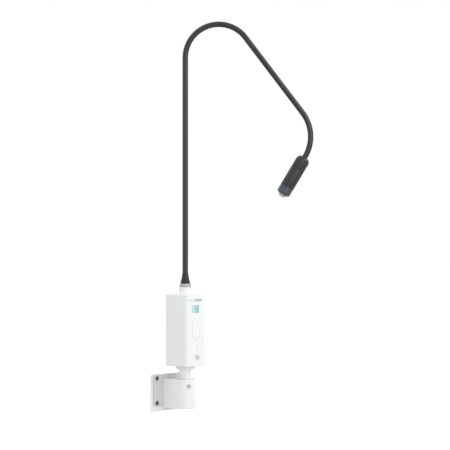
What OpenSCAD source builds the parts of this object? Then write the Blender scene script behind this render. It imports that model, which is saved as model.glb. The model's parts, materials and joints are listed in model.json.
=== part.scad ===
// Dental operating light: wall bracket, swivelling power box, rigid stalk, gooseneck and lamp head.
// Millimetres, +Z up, the wall is the plane Y = 0 and the object stands in front of it at negative Y.

/* [Bracket] */
// Width of the plate against the wall
plate_w = 106; // [106:1:130]
// Thickness of the plate against the wall
plate_t = 3; // [2.5:0.5:4]
// Width of the flange of the socket casting
flange_w = 96; // [92:1:104]
// Thickness of the flange of the socket casting
flange_t = 4; // [3:0.5:5]
// Screw spacing across the bracket
screw_dx = 80; // [76:1:84]
// Screw spacing up the bracket
screw_dz = 52; // [46:1:54]
// Radius of the screws that the wall holes take
screw_r = 2.5; // [2:0.25:2.75]
// Distance from the wall to the post's centreline
post_y = 51; // [50:1:60]
// Radius of the rounded nose of the socket
nose_r = 20; // [18.5:0.5:21]

/* [Post and box] */
// Outside radius of the post
post_r = 12.5; // [12:0.25:13]
// Radius of the collar on the post
collar_r = 20; // [18:0.5:22]
// Width and depth of the power box
box_w = 62; // [60:1:66]
// Height of the power box
box_h = 147; // [140:1:156]
// Radius of the box's upright corners
corner_r = 7; // [5:0.5:9]
// Wall thickness of the box
wall_t = 2.5; // [2:0.25:3]

/* [Arm] */
// Outside radius of the arm's black jacket
arm_r = 6; // [5.75:0.25:6.25]
// Height of the end of the straight stalk
stalk_top = 699; // [599:2:721]
// Radius of the upper bend of the gooseneck
bend_r = 70.4; // [68:0.4:90]
// Angle of the upper bend of the gooseneck
bend_a = 142.8; // [120:0.2:150]
// Length of the straight run between the two bends
run_l = 198.6; // [180:0.2:240]
// Radius of the lower bend of the gooseneck
bend2_r = 82; // [74:1:90]
// Angle of the lower bend of the gooseneck
bend2_a = 68; // [40:1:80]
// Direction of the gooseneck about the post, from +X
neck_yaw = -50.5; // [-90:0.5:0]

/* [Lamp head] */
// Radius of the lamp head
head_r = 14.75; // [13.5:0.25:16]
// Length of the lamp head without the lens dome
head_l = 90; // [89:1:96]

/* [Hidden] */
$fa = 6;
$fs = 0.6;
// plate and casting
plate_low = -44;
plate_top = 34;
plate_h = plate_top - plate_low;
flange_low = -32;
flange_h = plate_top - flange_low;
face_y = -(plate_t + flange_t);
socket_low = -37;
socket_top = 24;
socket_bore_r = post_r + 2.6;
bush_r = socket_bore_r - 0.1;
bush_bore_r = post_r + 0.06;
bush_top = socket_top + 2;
clamp_z = 11;
// wall holes, each with a liner
hole_r = screw_r + 0.3;
liner_r = hole_r + 0.9;
liner_hole_r = liner_r + 0.3;
clamp_a = -27;
// post and box levels
post_low = -32;
collar_low = 45;
box_low = 53;
box_top = box_low + box_h;
half_box = box_w / 2;
front_y = -post_y - half_box;
back_y = -post_y + half_box;
roof_top = box_top + 6;
neck_top = box_top + 18;
neck_r = 13.5;
nut_r = 12.5;
ring_low = neck_top + 0.5;
ring_top = ring_low + 6.5;
boot_top = ring_top + 21;
button_z = box_low + 18.6;
button_x = 2;
button_w = 9.5;
button_h = 7.5;
led_z = box_low + 41;
mark_z = box_low + 56;
window_z = box_low + 119.5;
window_x = -3.5;
strip_z = box_low + 61;
strip_h = 38.5;
tag_z = box_low + 138;
// gooseneck: one joint across the bend, the upper bend, the straight run, then the lower bend
joint_gap = 0.5;
head_gap = 2.4;
wire_r = 1.8;
bend_n = 5;
bend2_n = 3;
run_n = 5;
half_a = bend_a / bend_n / 2;
half2_a = bend2_a / bend2_n / 2;
pitch = 2 * bend_r * tan(half_a);
pitch2 = 2 * bend2_r * tan(half2_a);
run_pitch = (pitch / 2 + run_l + pitch2 / 2) / (run_n + 1);
first_joint = stalk_top - pitch / 2;
joint_n = 1 + bend_n + run_n + bend2_n;
// turn of the neck at joint i, counted from 1 at the top of the stalk
function turn(i) =
    (i > 1 && i <= 1 + bend_n) ? 2 * half_a :
    (i > 1 + bend_n + run_n) ? 2 * half2_a : 0;
// length of the link that starts at joint i
function link_len(i) =
    i <= bend_n ? pitch :
    i <= 1 + bend_n + run_n ? run_pitch :
    i < joint_n ? pitch2 : pitch2 / 2 + head_gap;
function lean(i) = i < 1 ? 0 : lean(i - 1) + turn(i);
function joint_u(i) = i <= 1 ? 0 : joint_u(i - 1) + link_len(i - 1) * sin(lean(i - 1));
function joint_z(i) = i <= 1 ? first_joint : joint_z(i - 1) + link_len(i - 1) * cos(lean(i - 1));
// lamp head levels along its own axis
cap_h = 16;
shell_end = 72;
cap_round = 8.5;
shell_wall = 2;
lens_r = 8;
front_round = 5.5;

white = [0.93, 0.93, 0.92];
plate_white = [0.86, 0.86, 0.85];
black = [0.09, 0.09, 0.1];
rubber_black = [0.12, 0.12, 0.13];
steel = [0.72, 0.73, 0.75];
alloy = [0.78, 0.79, 0.8];
copper = [0.75, 0.5, 0.3];
board_green = [0.12, 0.42, 0.26];
soft_grey = [0.7, 0.71, 0.73];
slate = [0.3, 0.33, 0.37];
pale_blue = [0.62, 0.76, 0.92];
clear_blue = [0.85, 0.91, 0.96];

// ---- shared shapes ----

// A ring between two radii
module ring(outer, inner, h) {
    difference() {
        cylinder(r = outer, h = h);
        translate([0, 0, -1]) cylinder(r = inner, h = h + 2);
    }
}

// An upright block with rounded upright corners, centred on Z
module round_block(w, d, h, r) {
    translate([-w / 2 + r, -d / 2, 0]) cube([w - 2 * r, d, h]);
    translate([-w / 2, -d / 2 + r, 0]) cube([w, d - 2 * r, h]);
    for (x = [-1, 1], y = [-1, 1])
        translate([x * (w / 2 - r), y * (d / 2 - r), 0]) cylinder(r = r, h = h);
}

// Moves to the post's centreline
module at_post() {
    translate([0, -post_y, 0]) children();
}

// Turns a Z shape to point out of the box's front face, at a height
module on_front(x, z) {
    translate([x, front_y, z]) rotate([90, 0, 0]) children();
}

// Moves to joint i of the gooseneck with Z along the link that starts there
module at_joint(i) {
    at_post() rotate([0, 0, neck_yaw])
        translate([joint_u(i), 0, joint_z(i)]) rotate([0, lean(i), 0]) children();
}

// Moves to the rear end of the lamp head with Z along its axis
module at_head() {
    at_joint(joint_n) translate([0, 0, link_len(joint_n)]) children();
}

// ---- bracket ----

module wall_plate() color(plate_white) difference() {
    translate([-plate_w / 2, -plate_t, plate_low]) cube([plate_w, plate_t, plate_h]);
    for (x = [-1, 1], z = [-1, 1])
        translate([x * screw_dx / 2, 1, z * screw_dz / 2]) rotate([90, 0, 0])
            cylinder(r = liner_hole_r, h = plate_t + 2);
}

module socket_block() color(white) difference() {
    union() {
        translate([-flange_w / 2, face_y, flange_low]) cube([flange_w, flange_t, flange_h]);
        translate([-nose_r, -post_y, socket_low])
            cube([2 * nose_r, post_y - plate_t, socket_top - socket_low]);
        translate([0, -post_y, socket_low]) cylinder(r = nose_r, h = socket_top - socket_low);
    }
    for (x = [-1, 1], z = [-1, 1])
        translate([x * screw_dx / 2, 1, z * screw_dz / 2]) rotate([90, 0, 0])
            cylinder(r = liner_hole_r, h = plate_t + flange_t + 2);
    translate([0, -post_y, socket_low + 2.5]) cylinder(r = socket_bore_r, h = 100);
    translate([0, -post_y, clamp_z]) rotate([90, 0, clamp_a]) cylinder(r = 2.7, h = nose_r + 5);
}

module socket_bush() color(soft_grey) at_post() difference() {
    union() {
        translate([0, 0, socket_low + 2.6]) cylinder(r = bush_r, h = socket_top - socket_low - 2.6);
        translate([0, 0, socket_top]) cylinder(r = nose_r - 1.5, h = bush_top - socket_top);
    }
    translate([0, 0, socket_low + 4.6]) cylinder(r = bush_bore_r, h = 100);
    translate([0, 0, clamp_z]) rotate([90, 0, clamp_a]) cylinder(r = 2.7, h = nose_r + 5);
}

// Four flanged liners in the holes for the wall screws, each countersunk at the front
module hole_liners() color(black) for (x = [-1, 1], z = [-1, 1])
    translate([x * screw_dx / 2, 0, z * screw_dz / 2]) rotate([90, 0, 0]) difference() {
        union() {
            cylinder(r = liner_r, h = -face_y + 0.5);
            translate([0, 0, -face_y]) cylinder(r = liner_r + 1, h = 1);
            translate([0, 0, -face_y + 1]) cylinder(r1 = liner_r + 1, r2 = liner_r + 0.5, h = 0.6);
        }
        translate([0, 0, -1]) cylinder(r = hole_r, h = 20);
        translate([0, 0, -face_y + 0.7]) cylinder(r1 = hole_r, r2 = hole_r + 1, h = 1);
    }

module clamp_screw() color(soft_grey) at_post() translate([0, 0, clamp_z]) rotate([90, 0, clamp_a])
    difference() {
        union() {
            translate([0, 0, post_r + 0.6]) cylinder(r = 2.5, h = nose_r - post_r);
            translate([0, 0, nose_r + 0.3]) cylinder(r = 4, h = 2);
        }
        translate([0, 0, nose_r + 1]) cylinder(r = 1.6, h = 4, $fn = 6);
    }

// ---- post ----

module post_tube() color(steel) at_post()
    translate([0, 0, post_low]) ring(post_r, post_r - 2, box_low + 6 - post_low);

module post_collar() color(white) at_post() difference() {
    union() {
        translate([0, 0, collar_low + 1.5]) cylinder(r = collar_r, h = box_low - collar_low - 1.5);
        translate([0, 0, collar_low]) cylinder(r1 = collar_r - 1.5, r2 = collar_r, h = 1.5);
    }
    translate([0, 0, collar_low - 1]) cylinder(r = post_r + 0.05, h = 20);
}

module post_flange_nut() color(steel) at_post() difference() {
    translate([0, 0, box_low + 3.1]) cylinder(r = 17, h = 5, $fn = 6);
    translate([0, 0, box_low]) cylinder(r = post_r + 0.05, h = 20);
}

// ---- power box ----

module box_shell() color(white) difference() {
    translate([0, -post_y, box_low]) round_block(box_w, box_w, box_h, corner_r);
    translate([0, -post_y, box_low + wall_t])
        round_block(box_w - 2 * wall_t, box_w - 2 * wall_t, box_h, corner_r - wall_t);
    translate([0, -post_y, box_low - 1]) round_block(44, 44, 10, 4);
    on_front(button_x, button_z) translate([-button_w / 2 - 1, -button_h / 2 - 1, -wall_t - 1])
        cube([button_w + 2, button_h + 2, wall_t + 2]);
    on_front(window_x, window_z) translate([-11.5, -7.9, -0.9]) cube([23, 15.8, 3]);
    on_front(button_x, led_z) translate([0, 0, -wall_t - 1]) cylinder(r = 1.6, h = wall_t + 2);
    on_front(-6, mark_z) translate([0, 0, -0.5]) cylinder(r = 1.5, h = 2);
    translate([-half_box + 0.6, -post_y, mark_z]) rotate([0, -90, 0]) cylinder(r = 2, h = 3);
    translate([0, back_y + 1, box_low + 26]) rotate([90, 0, 0]) cylinder(r = 6.2, h = wall_t + 2);
    for (z = [0:6])
        translate([-14, back_y - wall_t - 1, box_top - 24 - z * 5]) cube([28, wall_t + 2, 2]);
}

module base_plate() color(white) difference() {
    translate([0, -post_y, box_low]) round_block(43.6, 43.6, 3, 3.8);
    translate([0, -post_y, box_low - 1]) cylinder(r = post_r + 0.1, h = 5);
    for (x = [-1, 1], y = [-1, 1])
        translate([x * 17.5, -post_y + y * 17.5, box_low - 1]) cylinder(r = 1.6, h = 5);
}

// Four pan head screws up through the base plate
module base_screws() color(steel) for (x = [-1, 1], y = [-1, 1])
    translate([x * 17.5, -post_y + y * 17.5, box_low]) difference() {
        union() {
            cylinder(r = 1.5, h = 8);
            translate([0, 0, -0.9]) cylinder(r1 = 2.2, r2 = 2.8, h = 0.9);
        }
        translate([-2, -0.3, -1.5]) cube([4, 0.6, 1]);
    }

module top_cap() color(white) at_post() difference() {
    union() {
        translate([0, 0, box_top]) round_block(box_w, box_w, 1.2, corner_r);
        translate([0, 0, box_top - 3])
            round_block(box_w - 2 * wall_t - 0.2, box_w - 2 * wall_t - 0.2, 3, corner_r - wall_t);
        hull() {
            for (x = [-1, 1], y = [-1, 1])
                translate([x * (half_box - corner_r), y * (half_box - corner_r), box_top + 1.2])
                    cylinder(r = corner_r - 0.6, h = 0.01, $fn = 32);
            translate([0, 0, roof_top]) cylinder(r = 18, h = 0.01, $fn = 64);
        }
        translate([0, 0, box_top + 1]) cylinder(r = neck_r, h = neck_top - box_top - 1);
        translate([0, 0, roof_top - 0.4]) rotate_extrude() difference() {
            translate([neck_r - 1, 0]) square([6, 5]);
            translate([neck_r + 5.4, 5.4]) circle(r = 5.4);
        }
    }
    translate([0, 0, box_top - 4]) cylinder(r = arm_r + 0.1, h = 30);
}

module name_strip() color(soft_grey) on_front(window_x - 1, tag_z)
    translate([-21, -2.6, 0]) cube([42, 5.2, 0.3]);

module indicator_window() color(pale_blue) on_front(window_x, window_z)
    translate([-11.4, -7.8, -0.8]) cube([22.8, 15.6, 1.1]);

module front_strip() color(white) on_front(-1, strip_z) difference() {
    translate([-12, 0, 0]) cube([24, strip_h, 0.8]);
    translate([-10.6, 1.4, 0.5]) cube([21.2, strip_h - 2.8, 1]);
}

module status_led() color(pale_blue) on_front(button_x, led_z) {
    translate([0, 0, -4]) cylinder(r = 1.5, h = 4.2);
    translate([0, 0, 0.2]) cylinder(r1 = 1.5, r2 = 0.8, h = 0.7);
}

module button_bezel() color(soft_grey) on_front(button_x, button_z) difference() {
    union() {
        translate([-button_w / 2 - 2.2, -button_h / 2 - 2.2, 0]) cube([button_w + 4.4, button_h + 4.4, 0.9]);
        translate([-button_w / 2 - 0.9, -button_h / 2 - 0.9, -5])
            cube([button_w + 1.8, button_h + 1.8, 5]);
    }
    translate([-button_w / 2 - 0.25, -button_h / 2 - 0.25, -6])
        cube([button_w + 0.5, button_h + 0.5, 10]);
}

// ---- power button ----

module power_button() color(slate) on_front(button_x, button_z) difference() {
    union() {
        translate([-button_w / 2, -button_h / 2, -2.5]) cube([button_w, button_h, 5]);
        translate([0, 0, -7.4]) cylinder(r = 1.4, h = 5);
    }
    translate([-0.35, 0.4, 2.1]) cube([0.7, 2.2, 1]);
    translate([0, -0.4, 2.1]) ring(2, 1.4, 1);
}

module button_spring() color(steel) on_front(button_x, button_z) translate([0, 0, -8.9])
    linear_extrude(height = 6.2, twist = -1440, slices = 64) difference() {
        circle(r = 2.4, $fn = 12);
        circle(r = 1.8, $fn = 12);
        translate([-4, -4]) square([4, 8]);
    }

module switch_body() color(black) on_front(button_x, button_z) difference() {
    translate([-6, -6, -18.3]) cube([12, 12, 9.1]);
    translate([0, 0, -12.5]) cylinder(r = 1.7, h = 5);
}

// ---- electronics ----

module driver_board() color(board_green) difference() {
    translate([-25, -post_y - 12.6, box_low + 12]) cube([50, 1.6, 112]);
    for (x = [-1, 1], z = [18, 118])
        translate([x * 21, -post_y - 5, box_low + z]) rotate([90, 0, 0]) cylinder(r = 1.7, h = 12);
}

// Two upright rails, each with two bosses, that carry the board's edges
module board_rails() color(white) for (side = [-1, 1]) difference() {
    union() {
        translate([side * 21 - 2.5, -post_y - 10.9, box_low + 3.1]) cube([5, 3, 124.9]);
        for (z = [18, 118])
            translate([side * 21, -post_y - 7.9, box_low + z]) rotate([90, 0, 0]) cylinder(r = 1.6, h = 5.5);
    }
    for (z = [18, 118])
        translate([side * 21, -post_y - 5, box_low + z]) rotate([90, 0, 0]) cylinder(r = 0.9, h = 12);
}

module transformer() color(steel) difference() {
    translate([-16, -post_y + 0.5, box_low + 52]) cube([32, 25, 28]);
    for (x = [-1, 1])
        translate([x * 8.5 - 3, -post_y - 1, box_low + 57]) cube([6, 30, 18]);
}

module transformer_coil() color(copper) difference() {
    translate([-11.3, -post_y + 0.2, box_low + 57.2]) cube([22.6, 25.4, 17.6]);
    translate([-5.6, -post_y - 1, box_low + 56]) cube([11.2, 28, 20]);
}

module capacitor() color(slate) translate([14, -post_y - 12.8, box_low + 88]) rotate([90, 0, 0]) {
    cylinder(r = 5, h = 10);
    translate([0, 0, 10]) cylinder(r1 = 5, r2 = 4.4, h = 0.8);
}

module driver_heat_sink() color(alloy) {
    translate([-18, -post_y - 14.8, box_low + 92]) cube([22, 2, 26]);
    for (i = [0:4])
        translate([-18 + i * 5, -post_y - 23.8, box_low + 92]) cube([2, 9.2, 26]);
}

module power_inlet() color(black) translate([0, back_y, box_low + 26]) rotate([-90, 0, 0]) difference() {
    union() {
        cylinder(r = 8.5, h = 1.8);
        translate([0, 0, -12]) cylinder(r = 6, h = 12);
    }
    translate([0, 0, -9]) cylinder(r = 3.2, h = 12);
}

// ---- arm ----

module ring_nut() color(steel) at_post() difference() {
    union() {
        translate([0, 0, ring_low]) cylinder(r = nut_r, h = ring_top - ring_low - 1.5);
        translate([0, 0, ring_top - 1.5]) cylinder(r1 = nut_r, r2 = nut_r - 0.9, h = 1.5);
    }
    translate([0, 0, ring_low - 1]) cylinder(r = arm_r + 0.1, h = 12);
    for (a = [0:15:345])
        rotate([0, 0, a]) translate([nut_r + 0.4, 0, ring_low + 1]) cylinder(r = 0.7, h = 2.6);
}

module arm_boot() color(rubber_black) at_post() difference() {
    union() {
        translate([0, 0, ring_top]) cylinder(r = 10, h = 6.5);
        translate([0, 0, ring_top + 6.5]) cylinder(r1 = 10, r2 = 9.2, h = 1);
        translate([0, 0, ring_top + 7.5]) cylinder(r1 = 9.2, r2 = arm_r + 0.7, h = boot_top - ring_top - 7.5);
    }
    translate([0, 0, ring_top - 1]) cylinder(r = arm_r + 0.1, h = 40);
}

module arm_ferrule() color(steel) at_post()
    translate([0, 0, box_top + 1.5]) ring(arm_r, 5.1, ring_top - box_top - 1.6);

module stalk_tube() color(steel) at_post()
    translate([0, 0, box_top + 2]) ring(5, 3.5, first_joint - 16 - box_top);

module stalk_jacket() color(black) at_post() difference() {
    union() {
        translate([0, 0, ring_top]) cylinder(r = arm_r, h = first_joint - ring_top);
        translate([0, 0, first_joint]) sphere(r = arm_r);
    }
    translate([0, 0, ring_top - 1]) cylinder(r = 5.1, h = first_joint - 13 - ring_top);
    translate([0, 0, first_joint - 20]) cylinder(r = wire_r, h = 40);
}

module stalk_cable() color(soft_grey) at_post()
    translate([0, 0, box_top - 18]) cylinder(r = 2.6, h = first_joint - box_top);

// One link of the gooseneck: a cupped lower end and a domed upper end, both centred on a joint
module neck_link(i) color(black) at_joint(i) difference() {
    union() {
        cylinder(r = arm_r, h = link_len(i));
        translate([0, 0, link_len(i)]) sphere(r = arm_r);
    }
    sphere(r = arm_r + joint_gap);
    translate([0, 0, -1]) cylinder(r = wire_r, h = link_len(i) + 20);
}

module neck_link_01() neck_link(1);
module neck_link_02() neck_link(2);
module neck_link_03() neck_link(3);
module neck_link_04() neck_link(4);
module neck_link_05() neck_link(5);
module neck_link_06() neck_link(6);
module neck_link_07() neck_link(7);
module neck_link_08() neck_link(8);
module neck_link_09() neck_link(9);
module neck_link_10() neck_link(10);
module neck_link_11() neck_link(11);
module neck_link_12() neck_link(12);
module neck_link_13() neck_link(13);

module neck_end() color(black) at_joint(joint_n) difference() {
    union() {
        cylinder(r = arm_r, h = link_len(joint_n) + 0.5);
        translate([0, 0, link_len(joint_n)]) cylinder(r = 4.5, h = 14);
    }
    sphere(r = arm_r + joint_gap);
    translate([0, 0, -1]) cylinder(r = wire_r, h = 60);
}

// ---- lamp head ----

module head_cap() color(black) at_head() difference() {
    union() {
        rotate_extrude() difference() {
            square([head_r, cap_h]);
            difference() {
                translate([head_r - cap_round, -1]) square([cap_round + 1, cap_round + 1]);
                translate([head_r - cap_round, cap_round]) circle(r = cap_round);
            }
        }
        translate([0, 0, cap_h]) cylinder(r = head_r - shell_wall - 0.1, h = 5);
    }
    translate([0, 0, -3]) cylinder(r = arm_r + 0.1, h = 3.6);
    translate([0, 0, -3]) cylinder(r = 4.6, h = 40);
}

module head_shell() color(black) at_head() difference() {
    translate([0, 0, cap_h + 0.3]) cylinder(r = head_r, h = shell_end - cap_h - 0.3);
    translate([0, 0, cap_h - 1]) cylinder(r = head_r - shell_wall, h = shell_end);
    for (z = [0:2])
        translate([0, 0, cap_h + 6 + z * 3.4]) ring(head_r + 1, head_r - 0.5, 1);
}

module head_heat_sink() color(alloy) at_head() difference() {
    translate([0, 0, 30]) cylinder(r = head_r - shell_wall - 0.1, h = 26);
    translate([0, 0, 29]) cylinder(r = 2.6, h = 30);
    for (a = [0:30:150])
        rotate([0, 0, a]) translate([-head_r, -0.8, 29]) cube([2 * head_r, 1.6, 21]);
}

module led_board() color(board_green) at_head() translate([0, 0, 56.1])
    ring(head_r - shell_wall - 0.2, 1.5, 1.4);

module led_dome() color(pale_blue) at_head() difference() {
    translate([0, 0, 57.6]) sphere(r = 3);
    translate([-5, -5, 52.6]) cube([10, 10, 5]);
}

module head_reflector() color(alloy) at_head() translate([0, 0, 57.7]) difference() {
    cylinder(r1 = 4.6, r2 = head_r - shell_wall - 0.3, h = 24);
    translate([0, 0, -0.1]) cylinder(r1 = 3.6, r2 = head_r - shell_wall - 1.3, h = 24.2);
}

module head_bezel() color(slate) at_head() difference() {
    translate([0, 0, shell_end + 0.3]) rotate_extrude() difference() {
        square([head_r, head_l - shell_end - 0.3]);
        translate([head_r - front_round, head_l - shell_end - 0.3 - front_round]) difference() {
            square([front_round + 1, front_round + 1]);
            circle(r = front_round);
        }
    }
    translate([0, 0, shell_end - 1]) cylinder(r = head_r - shell_wall, h = head_l - 3.5 - shell_end);
    cylinder(r = lens_r + 0.3, h = head_l + 1);
    translate([0, 0, shell_end + 4]) ring(head_r + 1, head_r - 0.5, 1);
}

module lens_seal() color(rubber_black) at_head() translate([0, 0, head_l - 7.8])
    ring(head_r - shell_wall - 0.05, head_r - shell_wall - 1.6, 1.6);

module head_lens() color(clear_blue) at_head() {
    translate([0, 0, head_l - 6]) cylinder(r = head_r - shell_wall - 0.1, h = 1.2);
    translate([0, 0, head_l - 5]) cylinder(r = lens_r, h = 8.2);
    translate([0, 0, head_l + 3.2]) intersection() {
        translate([0, 0, -14.8]) sphere(r = 17);
        cylinder(r = lens_r, h = 5);
    }
}

wall_plate();
socket_block();
socket_bush();
hole_liners();
clamp_screw();
post_tube();
post_collar();
post_flange_nut();
box_shell();
base_plate();
base_screws();
top_cap();
name_strip();
indicator_window();
front_strip();
status_led();
button_bezel();
power_button();
button_spring();
switch_body();
driver_board();
board_rails();
transformer();
transformer_coil();
capacitor();
driver_heat_sink();
power_inlet();
ring_nut();
arm_boot();
arm_ferrule();
stalk_tube();
stalk_jacket();
stalk_cable();
neck_link_01();
neck_link_02();
neck_link_03();
neck_link_04();
neck_link_05();
neck_link_06();
neck_link_07();
neck_link_08();
neck_link_09();
neck_link_10();
neck_link_11();
neck_link_12();
neck_link_13();
neck_end();
head_cap();
head_shell();
head_bezel();
head_lens();
lens_seal();
head_reflector();
led_board();
led_dome();
head_heat_sink();
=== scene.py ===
"""Dental operating light on its wall bracket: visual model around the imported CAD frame."""
import json
import math

import bmesh
import bpy
from mathutils import Matrix, Vector


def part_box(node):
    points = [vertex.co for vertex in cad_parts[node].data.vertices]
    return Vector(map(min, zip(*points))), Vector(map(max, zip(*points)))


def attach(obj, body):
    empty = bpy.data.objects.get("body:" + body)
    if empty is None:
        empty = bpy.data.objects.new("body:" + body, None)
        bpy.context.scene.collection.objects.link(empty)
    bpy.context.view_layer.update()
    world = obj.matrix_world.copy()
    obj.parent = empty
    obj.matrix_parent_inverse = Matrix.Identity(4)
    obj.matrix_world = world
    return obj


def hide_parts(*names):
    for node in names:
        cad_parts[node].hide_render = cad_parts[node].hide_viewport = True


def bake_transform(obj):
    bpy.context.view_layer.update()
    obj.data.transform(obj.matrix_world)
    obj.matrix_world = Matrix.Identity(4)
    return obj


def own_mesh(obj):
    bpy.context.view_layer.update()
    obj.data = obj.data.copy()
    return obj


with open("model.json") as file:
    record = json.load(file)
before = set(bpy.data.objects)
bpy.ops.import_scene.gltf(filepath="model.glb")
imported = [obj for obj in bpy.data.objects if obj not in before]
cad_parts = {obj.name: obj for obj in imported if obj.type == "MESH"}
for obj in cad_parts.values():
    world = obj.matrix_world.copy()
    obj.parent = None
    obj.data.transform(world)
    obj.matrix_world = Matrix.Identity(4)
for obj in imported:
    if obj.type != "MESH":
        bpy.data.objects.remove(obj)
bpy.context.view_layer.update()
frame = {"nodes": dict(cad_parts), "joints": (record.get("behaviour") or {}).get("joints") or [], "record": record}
NODES = frame["nodes"]
JOINTS = {j["name"]: j for j in frame["joints"]}
MM = 0.001
UP = Vector((0, 0, 1))

# ---------------------------------------------------------------- places from the frame


def low(node):
    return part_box(node)[0]


def high(node):
    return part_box(node)[1]


def centre(node):
    return (low(node) + high(node)) / 2


def width(node):
    return high(node).x - low(node).x


POST = Vector(JOINTS["post_swivel"]["pos_m"])
POST.z = 0
BEND_AXIS = Vector(next(j["axis"] for j in frame["joints"] if "bend" in j["name"]))
REACH = Vector((-BEND_AXIS.y, BEND_AXIS.x, 0)).normalized()
if REACH.dot(Vector(JOINTS["neck_bend_10"]["pos_m"]) - POST) < 0:
    REACH = -REACH
NECK_JOINTS = [j for j in frame["joints"] if j["name"].startswith("neck_")]
ARM_R = width("stalk_jacket") / 2

# ---------------------------------------------------------------- camera

CAMERA_DISTANCE = 3.7
VIEW_HEIGHT = 0.348
VIEW_ACROSS = 0.0834
SENSOR_WIDTH = 36
FRAME_WIDTH = 450 * 2.1 * MM
camera_data = bpy.data.cameras.new("camera")
camera = bpy.data.objects.new("camera", camera_data)
bpy.context.scene.collection.objects.link(camera)
camera_data.sensor_width = SENSOR_WIDTH
camera_data.lens = SENSOR_WIDTH * CAMERA_DISTANCE / FRAME_WIDTH
camera_data.clip_end = 200
to_camera = Vector((-BEND_AXIS.x, -BEND_AXIS.y, 0)).normalized()
camera.location = POST + REACH * VIEW_ACROSS + to_camera * CAMERA_DISTANCE + UP * VIEW_HEIGHT
camera.rotation_mode = "QUATERNION"
camera.rotation_quaternion = (-to_camera).to_track_quat("-Z", "Y")
bpy.context.scene.camera = camera

# ---------------------------------------------------------------- materials


class Nodes:
    """A node material under construction."""

    def __init__(self, name):
        self.m = bpy.data.materials.new(name)
        self.m.use_nodes = True
        self.t = self.m.node_tree
        self.t.nodes.clear()
        self.out = self.add("ShaderNodeOutputMaterial")
        self.s = self.add("ShaderNodeBsdfPrincipled")
        self.link(self.s.outputs[0], self.out.inputs["Surface"])
        self.coord = self.add("ShaderNodeTexCoord")

    def add(self, kind, **values):
        n = self.t.nodes.new(kind)
        for k, v in values.items():
            setattr(n, k, v)
        return n

    def link(self, a, b):
        self.t.links.new(a, b)

    def where(self, use_uv=False, stretch=(1, 1, 1)):
        """Texture coordinates in metres, scaled along each axis."""
        m = self.add("ShaderNodeMapping")
        m.inputs["Scale"].default_value = stretch
        self.link(self.coord.outputs["UV" if use_uv else "Object"], m.inputs["Vector"])
        return m.outputs[0]

    def noise(self, where, scale, detail, rough=0.55, seed=0.0):
        n = self.add("ShaderNodeTexNoise", noise_dimensions="4D")
        n.inputs["Scale"].default_value = scale
        n.inputs["Detail"].default_value = detail
        n.inputs["Roughness"].default_value = rough
        n.inputs["W"].default_value = seed
        self.link(where, n.inputs["Vector"])
        return n.outputs["Fac"]

    def remap(self, value, a, b, to_a, to_b):
        n = self.add("ShaderNodeMapRange")
        for k, v in zip(("From Min", "From Max", "To Min", "To Max"), (a, b, to_a, to_b)):
            n.inputs[k].default_value = v
        self.link(value, n.inputs["Value"])
        return n.outputs[0]

    def mix(self, fac, a, b):
        n = self.add("ShaderNodeMix", data_type="RGBA")
        for socket, v in ((n.inputs[0], fac), (n.inputs[6], a), (n.inputs[7], b)):
            if isinstance(v, bpy.types.NodeSocket):
                self.link(v, socket)
            else:
                socket.default_value = (*v, 1) if isinstance(v, tuple) else v
        return n.outputs[2]

    def bump(self, height, strength, distance):
        n = self.add("ShaderNodeBump")
        n.inputs["Strength"].default_value = strength
        n.inputs["Distance"].default_value = distance
        self.link(height, n.inputs["Height"])
        return n.outputs[0]

    def across(self, split, before, after):
        """0 to the left of a place on X and 1 to the right of it, with a soft change."""
        axes = self.add("ShaderNodeSeparateXYZ")
        self.link(self.coord.outputs["Object"], axes.inputs[0])
        return self.remap(axes.outputs[0], split - before, split + after, 0.0, 1.0)

    def set(self, **values):
        """Constants on the shader's own sockets; Coat_Weight stands for "Coat Weight"."""
        for k, v in values.items():
            self.s.inputs[k.replace("_", " ")].default_value = v


def tint(colour, k):
    return tuple(min(1.0, c * k) for c in colour)


def finish_material(
    name,
    colour,
    rough,
    mottle,
    mottle_scale,
    metallic=0.0,
    rough_spread=0.06,
    grain=900.0,
    grain_depth=0.00002,
    grain_strength=0.25,
    stretch=(1, 1, 1),
    use_uv=False,
    coat=0.0,
    coat_rough=0.12,
    sheen=0.0,
):
    """A finish with slow colour change, blotchy roughness and a fine bumped grain."""
    n = Nodes(name)
    here = n.where(use_uv, stretch)
    slow = n.noise(here, mottle_scale, 3.0, 0.5, 1.7)
    shade = n.remap(slow, 0.35, 0.65, 0.0, 1.0)
    n.link(n.mix(shade, tint(colour, 1 - mottle), tint(colour, 1 + mottle)), n.s.inputs["Base Color"])
    mid = n.noise(here, mottle_scale * 9, 5.0, 0.6, 4.1)
    n.link(
        n.remap(mid, 0.3, 0.7, max(0.02, rough - rough_spread), rough + rough_spread),
        n.s.inputs["Roughness"],
    )
    fine = n.noise(here, grain, 3.0, 0.6, 8.3)
    n.link(n.bump(fine, grain_strength, grain_depth), n.s.inputs["Normal"])
    n.set(Metallic=metallic, Coat_Weight=coat, Coat_Roughness=coat_rough, Sheen_Weight=sheen)
    return n


def casing_material():
    """White moulded casing: satin, with faint mould texture and a trace of handling marks."""
    n = finish_material(
        "white_casing", (0.80, 0.805, 0.80), 0.36, mottle=0.012, mottle_scale=9,
        rough_spread=0.05, grain=1500, grain_depth=0.00001, grain_strength=0.22,
    )
    rub = n.noise(n.where(False, (1, 1, 0.15)), 420, 2.0, 0.5, 3.3)
    old = n.s.inputs["Roughness"].links[0].from_socket
    add = n.add("ShaderNodeMath", operation="ADD")
    n.link(old, add.inputs[0])
    n.link(n.remap(rub, 0.62, 0.72, 0.0, 0.06), add.inputs[1])
    n.link(add.outputs[0], n.s.inputs["Roughness"])
    return n.m


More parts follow.
